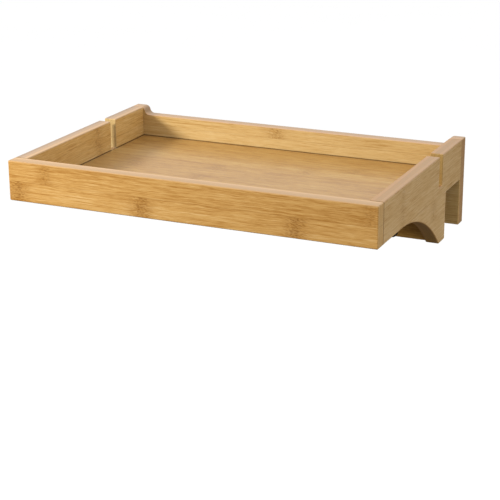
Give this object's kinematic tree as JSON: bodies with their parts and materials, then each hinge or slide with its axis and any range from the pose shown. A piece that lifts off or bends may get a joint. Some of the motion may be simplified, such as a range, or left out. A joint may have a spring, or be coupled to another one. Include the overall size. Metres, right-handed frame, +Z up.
{
  "type": "clip-on bedside shelf",
  "caption": "Bamboo tray shelf with a rail channel under its back edge and star-knob clamp screws with swivel pads that hold it on a bed rail or headboard.",
  "frame": {"origin": "middle of the clamp channel's ceiling, where the top edge of the rail seats", "axes": "+X along the rail to the right as seen from the tray's front, +Y from the tray's front to its back board, +Z up"},
  "size_m": [0.36, 0.25, 0.086],
  "materials": {
    "bamboo_board": "satin lacquer, long fibres and faint nodes",
    "bamboo_floor": "satin lacquer, narrow strips",
    "bamboo_inner": "satin lacquer",
    "dowel_wood": "raw",
    "zinc_plate": "bright zinc plate",
    "screw_steel": "dull plated steel",
    "black_plastic": "satin moulded",
    "white_plastic": "soft gloss moulded",
    "dark_disc": "matte"
  },
  "bodies": {
    "root": {"front_panel": "bamboo_board", "left_side_panel": "bamboo_board", "right_side_panel": "bamboo_board", "back_panel": "bamboo_board", "tray_floor": "bamboo_floor", "channel_ceiling": "bamboo_inner", "clamp_board": "bamboo_inner", "front_dowels": "dowel_wood", "back_dowels": "dowel_wood", "clamp_board_dowels": "dowel_wood", "left_insert_nut": "zinc_plate", "right_insert_nut": "zinc_plate"},
    "left_pad": {"left_pad_ferrule": "screw_steel", "left_pad_backing": "dark_disc", "left_clamp_pad": "white_plastic"},
    "left_screw": {"left_threaded_rod": "screw_steel", "left_star_knob": "black_plastic", "left_lock_collar": "zinc_plate"},
    "right_pad": {"right_pad_ferrule": "screw_steel", "right_pad_backing": "dark_disc", "right_clamp_pad": "white_plastic"},
    "right_screw": {"right_threaded_rod": "screw_steel", "right_star_knob": "black_plastic", "right_lock_collar": "zinc_plate"}
  },
  "joints": [
    {"name": "left_pad_slide", "type": "slide", "parent": "root", "child": "left_pad", "axis": [0, 1, 0], "range_m": [-0.0025, 0.015]},
    {"name": "left_knob_turn", "type": "hinge", "parent": "left_pad", "child": "left_screw", "pos_m": [-0.138, -0.06, -0.02], "axis": [0, 1, 0], "range_deg": [-720, 4320]},
    {"name": "right_pad_slide", "type": "slide", "parent": "root", "child": "right_pad", "axis": [0, 1, 0], "range_m": [-0.0025, 0.015]},
    {"name": "right_knob_turn", "type": "hinge", "parent": "right_pad", "child": "right_screw", "pos_m": [0.138, -0.06, -0.02], "axis": [0, 1, 0], "range_deg": [-720, 4320]}
  ],
  "couplings": [
    {"joint": "left_knob_turn", "follows": "left_pad_slide", "rad_per_m": 5026.5},
    {"joint": "right_knob_turn", "follows": "right_pad_slide", "rad_per_m": 5026.5}
  ]
}
